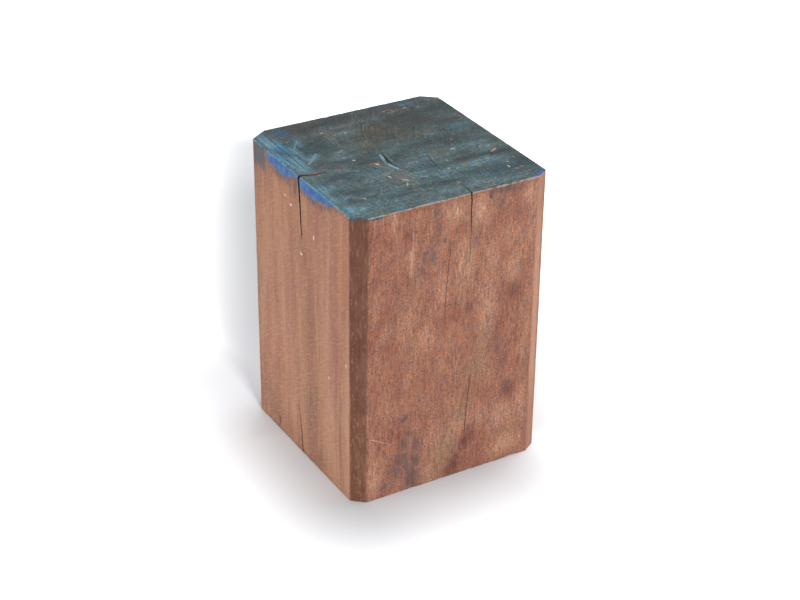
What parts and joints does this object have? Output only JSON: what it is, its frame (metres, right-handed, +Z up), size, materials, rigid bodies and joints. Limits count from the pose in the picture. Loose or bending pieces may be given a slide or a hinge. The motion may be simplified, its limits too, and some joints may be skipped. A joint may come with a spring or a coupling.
{
  "type": "tamper wood block",
  "caption": "Upright hardwood block with planed long arrises, drying checks and a painted head: the replaceable striking end of a hand tamper for earth and paving.",
  "frame": {"origin": "centre of the foot, on the surface that the block stands on", "axes": "+Z up along the grain to the painted head; the front face looks along -Y and the left face, which carries the paint runs, along -X; +X to the right"},
  "size_m": [0.15, 0.154, 0.219],
  "materials": {
    "hardwood": "bare sawn and planed dense hardwood, reddish brown; the head is covered in worn dark teal and blue paint that has run a little way down the left face"
  },
  "bodies": {
    "root": {"wood_block": "hardwood"}
  },
  "joints": []
}
